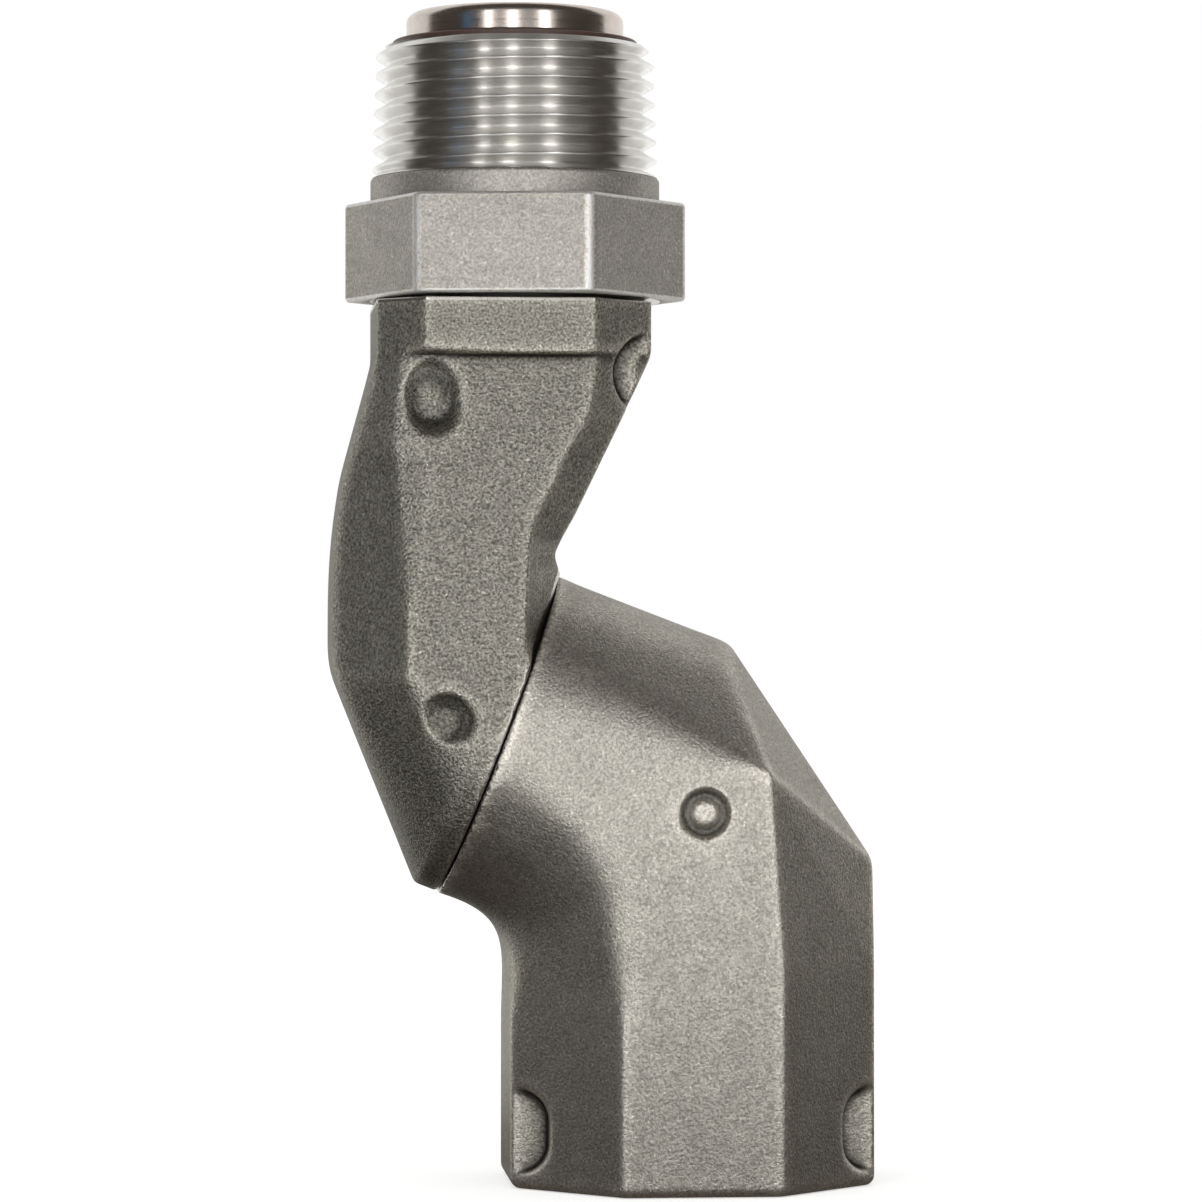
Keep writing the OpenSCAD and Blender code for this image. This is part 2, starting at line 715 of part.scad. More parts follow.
// Hexagon, cast shoulder and male thread, with the seal grooves in the bore
module male_connector() {
    color(machined) on_inlet() difference() {
        union() {
            translate([0, 0, hex_z]) rotate([0, 0, hex_turn]) cylinder(r = hex_r, h = hex_h, $fn = 6);
            hole(thread_r + shoulder_extra, shoulder_base - slab, thread_base);
            rotate_extrude() polygon(thread_outline());
        }
        hole(stem_r + 2 * run_gap, hex_z - eps, connector_top + eps);
        hole(connector_thrust_r + seat_gap, hex_z - eps, thrust_top);
        ring(connector_dust_r, connector_dust_r + dust_w + seat_gap, hex_z - eps, thrust_top);
        hole(stem_r + bushing_wall, hex_z, thrust_top + lower_bushing_l);
        hole(connector_groove_r, lower_oring_z, lower_oring_z + oring_w);
        hole(connector_groove_r, upper_pair_z, upper_pair_z + pair_w);
        hole(stem_r + bushing_wall, upper_bushing_z, connector_top + eps);
    }
}

module connector_lower_bushing() {
    color(acetal) on_inlet()
        ring(stem_r + run_gap, stem_r + bushing_wall - seat_gap, thrust_top, thrust_top + lower_bushing_l);
}

module connector_upper_bushing() {
    color(acetal) on_inlet()
        ring(stem_r + run_gap, stem_r + bushing_wall - seat_gap, upper_bushing_z, connector_top);
}

module connector_lower_oring() {
    color(rubber) on_inlet() oring(stem_r + run_gap, oring_d, lower_oring_z + oring_w / 2);
}

module connector_upper_oring() {
    color(rubber) on_inlet() oring(stem_r + run_gap, oring_d, upper_pair_z + pair_w - oring_w / 2);
}

module connector_backup_ring() {
    color(ptfe) on_inlet()
        ring(stem_r + run_gap, connector_groove_r - seat_gap, upper_pair_z + seat_gap, upper_pair_z + backup_t);
}

module connector_thrust_washer() {
    color(acetal) on_inlet() ring(stem_r + groove_gap, connector_thrust_r, collar_top, thrust_top);
}

module connector_dust_seal() {
    color(rubber) on_inlet() ring(connector_dust_r + seat_gap, connector_dust_r + dust_w, collar_top, thrust_top);
}

module head_thrust_washer() {
    color(acetal) on_inlet() ring(stem_r + groove_gap, head_washer_r, connector_top, head_base);
}

lower_body();
elbow_bushing();
elbow_retaining_ring();
elbow_thrust_washer();
elbow_dust_seal();
upper_body();
elbow_stem();
elbow_static_oring();
elbow_outer_oring();
elbow_inner_oring();
elbow_backup_ring();
inlet_stem();
inlet_static_oring();
male_connector();
connector_lower_bushing();
connector_upper_bushing();
connector_lower_oring();
connector_upper_oring();
connector_backup_ring();
connector_thrust_washer();
connector_dust_seal();
head_thrust_washer();
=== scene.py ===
import json
import math

import bmesh
import bpy
import numpy as np
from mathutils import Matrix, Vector


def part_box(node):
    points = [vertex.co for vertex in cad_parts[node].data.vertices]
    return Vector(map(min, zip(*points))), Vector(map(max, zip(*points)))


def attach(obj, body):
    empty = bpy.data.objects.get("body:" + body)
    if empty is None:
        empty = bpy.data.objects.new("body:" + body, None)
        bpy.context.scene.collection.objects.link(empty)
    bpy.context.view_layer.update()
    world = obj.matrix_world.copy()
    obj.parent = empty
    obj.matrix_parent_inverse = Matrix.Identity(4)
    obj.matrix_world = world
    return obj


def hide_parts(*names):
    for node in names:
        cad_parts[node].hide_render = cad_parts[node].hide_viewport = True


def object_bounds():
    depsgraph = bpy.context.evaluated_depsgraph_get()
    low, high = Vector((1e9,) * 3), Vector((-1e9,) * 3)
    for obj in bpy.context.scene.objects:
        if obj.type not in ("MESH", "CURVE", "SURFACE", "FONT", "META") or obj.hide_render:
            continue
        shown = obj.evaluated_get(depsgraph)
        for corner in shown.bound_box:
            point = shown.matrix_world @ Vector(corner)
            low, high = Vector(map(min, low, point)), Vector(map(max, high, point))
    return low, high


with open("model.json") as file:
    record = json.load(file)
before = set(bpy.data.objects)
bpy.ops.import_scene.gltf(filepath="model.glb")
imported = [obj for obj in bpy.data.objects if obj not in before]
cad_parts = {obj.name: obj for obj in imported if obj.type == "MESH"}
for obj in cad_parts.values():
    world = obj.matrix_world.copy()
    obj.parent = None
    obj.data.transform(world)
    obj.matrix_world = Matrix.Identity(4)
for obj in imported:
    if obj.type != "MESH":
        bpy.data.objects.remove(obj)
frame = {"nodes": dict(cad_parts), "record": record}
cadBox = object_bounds()
nodes = frame["nodes"]
mm = 0.001

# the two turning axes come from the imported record
joints = {joint["name"]: joint for joint in frame["record"]["behaviour"]["joints"]}
swivelPoint = np.array(joints["elbow_swivel"]["pos_m"])
swivelAxis = np.array(joints["elbow_swivel"]["axis"])
swivelAxis = swivelAxis / np.linalg.norm(swivelAxis)
inletX = joints["connector_swivel"]["pos_m"][0]
inletPoint = np.array((inletX, 0.0, 0.0))
up = np.array((0.0, 0.0, 1.0))
print("frame loaded:", len(nodes), "CAD nodes")


def smoothStep(low, high, values):
    share = np.clip((values - low) / (high - low), 0, 1)
    return share * share * (3 - 2 * share)


def newObject(name, data):
    made = bpy.data.objects.new(name, data)
    bpy.context.collection.objects.link(made)
    return made


# shading helpers

def fromHex(colour):
    channels = [int(colour[i:i + 2], 16) / 255 for i in (1, 3, 5)]
    return [c / 12.92 if c <= 0.04045 else ((c + 0.055) / 1.055) ** 2.4 for c in channels] + [1.0]


def addNode(tree, kind, settings=None, **links):
    # settings: properties and plain socket values; links: output sockets, keyed by input name
    node = tree.nodes.new(kind)
    for name, value in (settings or {}).items():
        if isinstance(name, str) and hasattr(node, name):
            setattr(node, name, value)
        else:
            node.inputs[name].default_value = value
    for name, socket in links.items():
        key = int(name[1:]) if name[0] == "_" else name
        tree.links.new(socket, node.inputs[key])
    return node


def newMaterial(name):
    material = bpy.data.materials.new(name)
    material.use_nodes = True
    material.node_tree.nodes.clear()
    return material, material.node_tree


def closeMaterial(tree, shader):
    addNode(tree, "ShaderNodeOutputMaterial", Surface=shader.outputs[0])


# most of a noise's values lie in this range
noiseLow, noiseHigh = 0.3, 0.7

# sand-cast aluminium, shot-blasted: matt and grainy, the grain's bumps catch the light, and painted glints
# lighten random grains as a finer sparkle
castLook = {
    "lowerColour": "#bbb7ae", "upperColour": "#98958c", "hexColour": "#c4c0b9",
    "grainMm": 0.3, "grainRange": (0.34, 0.66), "speckle": 0.45, "grainDepthMm": 0.12,
    # painted glint: its size, the noise range it covers and how much lighter it makes the colour
    "sparkMm": 0.36, "sparkRange": (0.63, 0.74), "sparkShade": 1.6,
    "pitMm": 0.8, "pitWeight": 0.6, "roughSpread": (-0.06, 0.08),
    "mottleMm": 4.0, "mottleShade": (0.93, 1.05),
    # relief range; hollows darken to this share as painted shade, and edges lighten as much as painted
    # highlight and wear
    "reliefMm": 0.25, "hollowShade": 0.3,
}


def castAluminium(name, colour, roughness, grain, look=castLook):
    # grain: how strongly the blasted grains and the painted glints show
    material, tree = newMaterial(name)
    where = addNode(tree, "ShaderNodeTexCoord").outputs["Object"]
    grainNoise = addNode(tree, "ShaderNodeTexNoise",
                         {"Scale": 1 / (look["grainMm"] * mm), "Detail": 2.0, "Roughness": 0.6}, Vector=where)
    pitNoise = addNode(tree, "ShaderNodeTexNoise",
                       {"Scale": 1 / (look["pitMm"] * mm), "Detail": 3.0, "Roughness": 0.65}, Vector=where)
    mottle = addNode(tree, "ShaderNodeTexNoise",
                     {"Scale": 1 / (look["mottleMm"] * mm), "Detail": 3.0, "Roughness": 0.55}, Vector=where)
    low, high = look["grainRange"]
    speckle = addNode(tree, "ShaderNodeMapRange",
                      {"From Min": low, "From Max": high, "To Min": 1 - look["speckle"] * grain,
                       "To Max": 1 + look["speckle"] * grain}, Value=grainNoise.outputs["Fac"])
    low, high = look["mottleShade"]
    patch = addNode(tree, "ShaderNodeMapRange",
                    {"From Min": noiseLow, "From Max": noiseHigh, "To Min": low, "To Max": high},
                    Value=mottle.outputs["Fac"])
    # painted glints: random grains are lightened in the colour, standing in for grains that catch the light
    glintNoise = addNode(tree, "ShaderNodeTexNoise", {"Scale": 1 / (look["sparkMm"] * mm), "Detail": 1.0},
                         Vector=where)
    low, high = look["sparkRange"]
    paintedGlint = addNode(tree, "ShaderNodeMapRange",
                    {"From Min": low, "From Max": high, "To Min": 1.0,
                     "To Max": 1 + (look["sparkShade"] - 1) * grain}, Value=glintNoise.outputs["Fac"])
    # painted highlight and shade by relief: edges that stand out are lightened, partly for wear and partly as
    # painted highlight, and hollows are darkened as painted shade
    relief = addNode(tree, "ShaderNodeAttribute", {"attribute_name": "reliefMm"})
    edge = addNode(tree, "ShaderNodeMapRange",
                   {"clamp": False, "From Min": -look["reliefMm"], "From Max": look["reliefMm"],
                    "To Min": look["hollowShade"], "To Max": 2 - look["hollowShade"]},
                   Value=relief.outputs["Fac"])
    shade = speckle
    for layer in (paintedGlint, patch, edge):
        shade = addNode(tree, "ShaderNodeMath", {"operation": "MULTIPLY"}, _0=shade.outputs[0],
                        _1=layer.outputs[0])
    base = addNode(tree, "ShaderNodeVectorMath", {"operation": "SCALE", 0: fromHex(colour)[:3]},
                   Scale=shade.outputs[0])
    height = addNode(tree, "ShaderNodeMath", {"operation": "MULTIPLY_ADD", 1: look["pitWeight"]},
                     _0=pitNoise.outputs["Fac"], _2=grainNoise.outputs["Fac"])
    bump = addNode(tree, "ShaderNodeBump", {"Strength": 1.0, "Distance": look["grainDepthMm"] * grain * mm},
                   Height=height.outputs[0])
    low, high = look["roughSpread"]
    rough = addNode(tree, "ShaderNodeMapRange",
                    {"From Min": noiseLow, "From Max": noiseHigh, "To Min": roughness + low,
                     "To Max": roughness + high}, Value=pitNoise.outputs["Fac"])
    shader = addNode(tree, "ShaderNodeBsdfPrincipled", {"Metallic": 1.0, "Specular Tint": (0.5, 0.5, 0.5, 1)},
                     **{"Base Color": base.outputs[0], "Roughness": rough.outputs[0],
                        "Normal": bump.outputs[0]})
    closeMaterial(tree, shader)
    return material


# turned or cut metal: fine tool rings round an axis, drawn coarser than real so that they show
turnLook = {"ringMm": 0.16, "ringDepthMm": 0.002, "ringBump": 0.6, "stainMm": 1.4, "stainShade": (0.9, 1.06),
            "roughSpread": (-0.04, 0.06), "quarterTurn": 0.25}
# wide and very shallow rings, for faces that shine more
fineLook = {**turnLook, "ringMm": 0.4, "ringDepthMm": 0.0004, "stainMm": 2.5}


def turnedMetal(name, colour, roughness, line, look=turnLook, anisotropic=0.35):
    # line: a point on the turning axis and its direction
    axisPoint, axisWay = (tuple(part) for part in line)
    material, tree = newMaterial(name)
    where = addNode(tree, "ShaderNodeTexCoord").outputs["Object"]
    along = addNode(tree, "ShaderNodeVectorMath", {"operation": "DOT_PRODUCT", 1: axisWay}, _0=where)
    beside = addNode(tree, "ShaderNodeVectorMath", {"operation": "SUBTRACT", 1: axisPoint}, _0=where)
    cross = addNode(tree, "ShaderNodeVectorMath", {"operation": "CROSS_PRODUCT", 1: axisWay},
                    _0=beside.outputs[0])
    radius = addNode(tree, "ShaderNodeVectorMath", {"operation": "LENGTH"}, _0=cross.outputs[0])
    sweep = addNode(tree, "ShaderNodeMath", {"operation": "ADD"}, _0=along.outputs["Value"],
                    _1=radius.outputs["Value"])
    rings = addNode(tree, "ShaderNodeTexNoise",
                    {"noise_dimensions": "1D", "Scale": 1 / (look["ringMm"] * mm), "Detail": 2.0},
                    W=sweep.outputs[0])
    stains = addNode(tree, "ShaderNodeTexNoise", {"Scale": 1 / (look["stainMm"] * mm), "Detail": 3.0},
                     Vector=where)
    low, high = look["stainShade"]
    shade = addNode(tree, "ShaderNodeMapRange",
                    {"From Min": noiseLow, "From Max": noiseHigh, "To Min": low, "To Max": high},
                    Value=stains.outputs["Fac"])
    base = addNode(tree, "ShaderNodeVectorMath", {"operation": "SCALE", 0: fromHex(colour)[:3]},
                   Scale=shade.outputs[0])
    low, high = look["roughSpread"]
    rough = addNode(tree, "ShaderNodeMapRange",
                    {"From Min": noiseLow, "From Max": noiseHigh, "To Min": roughness + low,
                     "To Max": roughness + high}, Value=rings.outputs["Fac"])
    bump = addNode(tree, "ShaderNodeBump",
                   {"Strength": look["ringBump"], "Distance": look["ringDepthMm"] * mm},
                   Height=rings.outputs["Fac"])
    # the quarter turn spreads the shine across the tool rings
    shader = addNode(tree, "ShaderNodeBsdfPrincipled",
                     {"Metallic": 1.0, "Anisotropic": anisotropic,
                      "Anisotropic Rotation": look["quarterTurn"]},
                     **{"Base Color": base.outputs[0], "Roughness": rough.outputs[0],
                        "Normal": bump.outputs[0]})
    closeMaterial(tree, shader)
    return material


# moulded or turned plastics and rubber: a soft sheen over a faint surface grain
softLook = {"shade": (0.85, 1.12), "grainBump": 0.7, "ior": 1.48}


def softSolid(name, colour, roughness, grainMm, grainDepthMm, look=softLook):
    material, tree = newMaterial(name)
    where = addNode(tree, "ShaderNodeTexCoord").outputs["Object"]
    noise = addNode(tree, "ShaderNodeTexNoise", {"Scale": 1 / (grainMm * mm), "Detail": 3.0}, Vector=where)
    low, high = look["shade"]
    shade = addNode(tree, "ShaderNodeMapRange",
                    {"From Min": noiseLow, "From Max": noiseHigh, "To Min": low, "To Max": high},
                    Value=noise.outputs["Fac"])
    base = addNode(tree, "ShaderNodeVectorMath", {"operation": "SCALE", 0: fromHex(colour)[:3]},
                   Scale=shade.outputs[0])
    bump = addNode(tree, "ShaderNodeBump", {"Strength": look["grainBump"], "Distance": grainDepthMm * mm},
                   Height=noise.outputs["Fac"])
    shader = addNode(tree, "ShaderNodeBsdfPrincipled", {"Roughness": roughness, "IOR": look["ior"]},
                     **{"Base Color": base.outputs[0], "Normal": bump.outputs[0]})
    closeMaterial(tree, shader)
    return material


swivelLine, inletLine = (swivelPoint, swivelAxis), (inletPoint, up)
castLower = castAluminium("blastedCastAluminium", castLook["lowerColour"], roughness=0.46, grain=0.64)
castUpper = castAluminium("darkCastAluminium", castLook["upperColour"], roughness=0.48, grain=1.15)
castHex = castAluminium("paleCastAluminium", castLook["hexColour"], roughness=0.56, grain=0.5)
# faces cut after casting: smooth, pale and faintly ringed
faced = turnedMetal("turnedAluminiumFace", "#c2bfb8", 0.3, swivelLine)
facedUp = turnedMetal("turnedAluminiumBore", "#b9b6b0", 0.32, inletLine)
# bright cut flanks that throw upright streaks of light
cutThread = turnedMetal("cutAluminiumThread", "#e0deda", 0.31, inletLine, fineLook, anisotropic=0.95)
# polished plate: warm and blurred like satin
nickel = turnedMetal("polishedNickelPlate", "#cdc3ba", 0.24, inletLine, fineLook, anisotropic=0.5)
# plain grey steel, and a darker spring ring under oil
steel = turnedMetal("turnedSteel", "#a9a9a8", 0.3, swivelLine)
springSteel = turnedMetal("oiledSpringSteel", "#55565a", 0.35, swivelLine)
# brown waxy bearing plastic, dull black rubber and white, slightly glossy backup rings
acetal = softSolid("brownAcetal", "#5a4136", roughness=0.45, grainMm=0.5, grainDepthMm=0.004)
rubber = softSolid("nitrileRubber", "#1d1c1c", roughness=0.6, grainMm=0.3, grainDepthMm=0.006)
ptfe = softSolid("skivedPtfe", "#e4e1da", roughness=0.4, grainMm=0.6, grainDepthMm=0.004)
print("materials made")

# castings: smoothed copies of the CAD solids, with soft cast edges
skinLook = {"relaxShare": 0.5, "calmRounds": 40, "leastFree": 0.08, "outwards": 0.3, "faceTurn": 0.8,
            "shaveFade": 5, "markReach": 4, "markRim": 1.2, "markRounds": 2}


def remeshed(nodeName, pieceName, voxelMm):
    # even, fine skin that lies on the CAD solid
    mesh = nodes[nodeName].data.copy()
    mesh.materials.clear()
    source = newObject(pieceName, mesh)
    modifier = source.modifiers.new("skin", "REMESH")
    modifier.mode = "VOXEL"
    modifier.voxel_size = voxelMm * mm
    fit = source.modifiers.new("fit", "SHRINKWRAP")
    fit.target = nodes[nodeName]
    fit.wrap_method = "NEAREST_SURFACEPOINT"
    skin = bpy.data.meshes.new_from_object(source.evaluated_get(bpy.context.evaluated_depsgraph_get()))
    source.modifiers.clear()
    source.data = skin
    bpy.data.meshes.remove(mesh)
    return source


def meshPoints(mesh):
    points = np.empty(len(mesh.vertices) * 3)
    mesh.vertices.foreach_get("co", points)
    return points.reshape(-1, 3)


def pointNormals(mesh):
    normals = np.empty(len(mesh.vertices) * 3)
    mesh.vertex_normals.foreach_get("vector", normals)
    return normals.reshape(-1, 3)


def relax(points, edges, weight, rounds):
    # pulls each point towards the middle of its neighbours, which rounds the edges and leaves the flats
    count = np.bincount(edges.ravel(), minlength=len(points))[:, None]
    for _ in range(rounds):
        total = np.zeros_like(points)
        for axis in range(3):
            total[:, axis] = (np.bincount(edges[:, 0], points[edges[:, 1], axis], len(points))
                              + np.bincount(edges[:, 1], points[edges[:, 0], axis], len(points)))
        points += skinLook["relaxShare"] * weight[:, None] * (total / np.maximum(count, 1) - points)
    return points


def alongSwivel(points):
    # distance along the inclined axis, and distance from it
    offset = points - swivelPoint
    along = offset @ swivelAxis
    return along, np.linalg.norm(offset - along[:, None] * swivelAxis, axis=1)


def facesOut(points, normals, centre, way):
    # outside skin: its normal points away from the given axis
    offset = points - centre
    radial = offset - (offset @ way)[:, None] * way
    radial = radial / np.maximum(np.linalg.norm(radial, axis=1), 1e-9)[:, None]
    return np.einsum("ij,ij->i", radial, normals) > skinLook["outwards"]


def freeShare(fixed, share):
    # cut faces stay as they are, and the edges beside them hardly move
    least = skinLook["leastFree"]
    return np.where(fixed, 0, least + (1 - least) * share)


def shaveFlat(points, line, half, side):
    # line: (height, x of the flat's front edge, turn of the flat from the front) in millimetres and degrees
    heights, places, turns = np.array(line).T
    order = np.argsort(heights)
    z = points[:, 2] / mm
    inside = smoothStep(heights.min(), heights.min() + skinLook["shaveFade"], z) * (z < heights.max())
    edge = np.interp(z, heights[order], places[order]) * mm
    turn = np.radians(np.interp(z, heights[order], turns[order]))
    across, forward = side * np.sin(turn), np.cos(turn)
    over = (points[:, 0] - edge) * across + (np.abs(points[:, 1]) - half(points[:, 2])) * forward
    over = inside * np.maximum(over, 0)
    points[:, 1] -= np.sign(points[:, 1]) * over * forward
    points[:, 0] -= over * across
    return points


def pressMark(points, edges, marks, half):
    # marks: (x, z, half width, half height, raised centre, ((share of the radius, depth), ...)), in mm
    near = np.zeros(len(points))
    for x, z, wide, high, raised, profile in marks:
        share = np.hypot((points[:, 0] / mm - x) / wide, (points[:, 2] / mm - z) / high)
        front = (points[:, 1] < 0) & (-points[:, 1] > half(points[:, 2]) - skinLook["markReach"] * mm)
        depth = np.interp(share, *np.array(profile).T) * mm
        pressed = depth - half(points[:, 2])
        if not raised:
            pressed = np.maximum(pressed, points[:, 1])
        points[:, 1] = np.where(front & (share < 1), pressed, points[:, 1])
        near = np.maximum(near, np.where(front & (share < skinLook["markRim"]), 1.0, 0.0))
    return relax(points, edges, near, skinLook["markRounds"])


def reliefOf(points, edges, mesh):
    # how far each point stands out of a smoother copy of the surface, in mm
    calm = relax(points.copy(), edges, np.ones(len(points)), skinLook["calmRounds"])
    standing = np.einsum("ij,ij->i", points - calm, pointNormals(mesh)) / mm
    return np.clip(standing, -castLook["reliefMm"], castLook["reliefMm"])


def setRelief(mesh, standing):
    mesh.attributes.new("reliefMm", "FLOAT", "POINT").data.foreach_set("value", standing)


def makeCasting(nodeName, pieceName, look, shape, half, free, soft, bright, materials, body):
    piece = remeshed(nodeName, pieceName, look["voxelMm"])
    mesh = piece.data
    points, normals = meshPoints(mesh), pointNormals(mesh)
    edges = np.empty(len(mesh.edges) * 2, int)
    mesh.edges.foreach_get("vertices", edges)
    edges = edges.reshape(-1, 2)
    weight = free(points, normals)
    points = shape(points)
    points = relax(points, edges, weight * soft(points), look["softRounds"])
    points = relax(points, edges, weight, look["rounds"])
    points = pressMark(points, edges, look["marks"], half)
    points = np.clip(points, cadBox[0], cadBox[1])
    mesh.vertices.foreach_set("co", points.ravel())
    mesh.update()
    # the relief drives the painted highlight and wear on edges and the painted shade in hollows
    setRelief(mesh, reliefOf(points, edges, mesh))
    for material in materials:
        mesh.materials.append(material)
    corners = np.empty(len(mesh.loops), int)
    mesh.loops.foreach_get("vertex_index", corners)
    starts = np.empty(len(mesh.polygons), int)
    mesh.polygons.foreach_get("loop_start", starts)
    mesh.polygons.foreach_set("material_index", bright(points, normals)[corners[starts]].astype(int))
    mesh.polygons.foreach_set("use_smooth", np.ones(len(mesh.polygons), bool))
    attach(piece, body)
    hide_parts(nodeName)
    print(pieceName, "made with", len(mesh.polygons), "faces")


# foot side: cut port, socket and joint face, and where the soft bend and crown fade in and out
lowerLook = {
    "voxelMm": 0.3, "rounds": 8, "softRounds": 190, "flatHalf": 21.15,
    "portR": 17.0, "portDepth": 26.0, "socketR": 17.9, "socketDepth": 18.4, "faceR": 19.4, "faceBand": 0.6,
    "brightBand": 0.24, "mouthR": 15.2, "mouthWide": 1.4, "mouthReach": (14.0, 16.5),
    "faceCloser": 0.12, "closerBand": 0.5, "rimCrisp": (0.9, 1.8), "rimFade": (1.0, 3.0),
    "bendLow": (19, 27), "bendSide": (-6.5, -2.5), "bendTop": (48, 54), "crownLow": (46, 51),
    "crownSide": (0, 6), "markX": 0.47, "markZ": 43.54, "markKeep": (4.5, 6.5), "markSoft": 0.2,
    "marks": ((0.2, 43.54, 3.05, 3.05, True, ((0, 0.2), (0.4, 0.35), (0.62, 1.0), (0.82, 0.9), (1, 0))),),
}


def lowerHalf(z):
    # half the foot's depth, the same at every height
    return lowerLook["flatHalf"] * mm + 0 * z


def lowerShape(points):
    # lead-in chamfer at the mouth of the female thread
    radius = np.hypot(points[:, 0], points[:, 1])
    mouth = (lowerLook["mouthR"] + lowerLook["mouthWide"]) * mm - points[:, 2]
    inner, outer = lowerLook["mouthReach"]
    grow = np.where((radius < outer * mm) & (radius > inner * mm), np.maximum(mouth / radius, 1), 1)
    points[:, :2] *= grow[:, None]
    # the face at the joint comes a little closer to the other casting
    along, _ = alongSwivel(points)
    closer = np.where(along < lowerLook["closerBand"] * mm, lowerLook["faceCloser"] * mm, 0)
    points -= closer[:, None] * swivelAxis
    return points


def lowerFixed(points, normals):
    along, radius = alongSwivel(points)
    portRadius = np.hypot(points[:, 0], points[:, 1])
    port = (portRadius < lowerLook["portR"] * mm) & (points[:, 2] < lowerLook["portDepth"] * mm)
    socket = (radius < lowerLook["socketR"] * mm) & (along < lowerLook["socketDepth"] * mm)
    socket &= ~facesOut(points, normals, swivelPoint, swivelAxis)
    face = (along < lowerLook["faceBand"] * mm) & (radius < lowerLook["faceR"] * mm)
    face &= normals @ swivelAxis < -skinLook["faceTurn"]
    return port | socket | face


def lowerFree(points, normals):
    along, _ = alongSwivel(points)
    return freeShare(lowerFixed(points, normals), smoothStep(*lowerLook["rimCrisp"], along / mm))


def lowerSoft(points):
    look = lowerLook
    x, z = points[:, 0] / mm, points[:, 2] / mm
    along, _ = alongSwivel(points)
    bend = (smoothStep(*look["bendLow"], z) * (1 - smoothStep(*look["bendSide"], x))
            * (1 - smoothStep(*look["bendTop"], z)))
    crown = smoothStep(*look["crownLow"], z) * (1 - smoothStep(*look["crownSide"], x))
    keep = smoothStep(*look["markKeep"], np.hypot(x - look["markX"], z - look["markZ"]))
    rim = smoothStep(*look["rimFade"], along / mm)
    return np.maximum(np.maximum(bend, crown) * keep * rim, look["markSoft"] * (1 - keep))


def lowerBright(points, normals):
    along, _ = alongSwivel(points)
    return lowerFixed(points, normals) | (along < lowerLook["brightBand"] * mm)


makeCasting("lower_body", "lowerCasting", lowerLook, lowerShape, lowerHalf, lowerFree, lowerSoft, lowerBright,
            [castLower, faced], "lower")

# neck side: cut bores and faces, and where the soft heel and the round end fade in and out
upperLook = {
    "voxelMm": 0.3, "rounds": 8, "softRounds": 90, "ledgeZ": 95.8, "ledgeHalf": 14.0, "jointZ": 52.3,
    "jointHalf": 19.7, "socketR": 14.5, "socketDepth": 6.2, "boreR": 13.0, "boreDepth": 13.5, "faceR": 19.4,
    "faceBand": 0.45, "faceRelief": 0.03, "collarBand": 0.2, "discR": 21.5, "rimR": 19.0, "rimBand": 0.3,
    "rimCrisp": (-1.2, -0.5), "topCrisp": (1.0, 0.4), "lowHigh": (55, 60), "lowAlong": (-2.5, -1.2),
    "lowRadius": (15.5, 18), "heelLow": (50, 55), "heelSide": (-36.5, -34.6), "heelTop": (92, 95),
    "markX": -28.91, "markZ": 54.2, "markKeep": (4.2, 6.2),
    "marks": ((-30.65, 91.3, 3.4, 4.15, False, ((0, 1.45), (0.45, 1.55), (0.8, 0.8), (1, 0))),
              (-29.25, 53.8, 3.4, 3.4, False, ((0, 1.75), (0.5, 1.55), (0.85, 0.75), (1, 0)))),
    # the slanted flats: height, x of the front edge, turn of the flat from the front
    "throat": ((95.8, -11.5, 45), (90.8, -12.2, 45), (88.8, -12.7, 45), (83.9, -15.5, 45), (80.4, -17.0, 45),
               (77.4, -18.6, 46), (75.0, -19.3, 62), (72.1, -19.6, 66), (66.0, -19.85, 66), (62.7, -20.1, 66),
               (59.0, -20.6, 66)),
    "heel": ((95.8, -34.9, 45), (87.0, -34.8, 45), (85.0, -34.0, 45), (83.4, -33.6, 45), (75.0, -33.3, 45),
             (70.1, -33.2, 45), (65.6, -33.4, 45), (62.2, -33.4, 45), (59.0, -33.4, 45), (55.0, -33.4, 45)),
    "strip": ((95.8, -31.0, 14), (87.2, -32.4, 14), (85.6, -32.6, 14), (83.4, -31.3, 15), (75.0, -31.9, 16),
              (70.1, -32.5, 18), (65.6, -33.2, 20)),
}
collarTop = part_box("upper_body")[1].z


def upperHalf(z):
    # half the neck's depth, which grows evenly from the ledge down to the joint
    look = upperLook
    share = (look["ledgeZ"] * mm - z) / ((look["ledgeZ"] - look["jointZ"]) * mm)
    return (look["ledgeHalf"] + (look["jointHalf"] - look["ledgeHalf"]) * share) * mm


def upperShape(points):
    for flat, side in (("throat", 1), ("strip", -1), ("heel", -1)):
        points = shaveFlat(points, upperLook[flat], upperHalf, side)
    # a hair of relief on the two faces that other pieces turn against
    along, radius = alongSwivel(points)
    over = np.clip(along + upperLook["faceRelief"] * mm, 0, None)
    over = np.where(radius < upperLook["discR"] * mm, over, 0)
    points -= over[:, None] * swivelAxis
    points[:, 2] = np.minimum(points[:, 2], collarTop - upperLook["faceRelief"] * mm)
    return points


def upperFixed(points, normals):
    along, radius = alongSwivel(points)
    inletRadius = np.hypot(points[:, 0] - inletX, points[:, 1])
    face = (along > -upperLook["faceBand"] * mm) & (radius < upperLook["faceR"] * mm)
    face &= normals @ swivelAxis > skinLook["faceTurn"]
    socket = (radius < upperLook["socketR"] * mm) & (along > -upperLook["socketDepth"] * mm)
    socket &= ~facesOut(points, normals, swivelPoint, swivelAxis)
    bore = (inletRadius < upperLook["boreR"] * mm) & (points[:, 2] > collarTop - upperLook["boreDepth"] * mm)
    bore &= ~facesOut(points, normals, inletPoint, up)
    return face | socket | bore


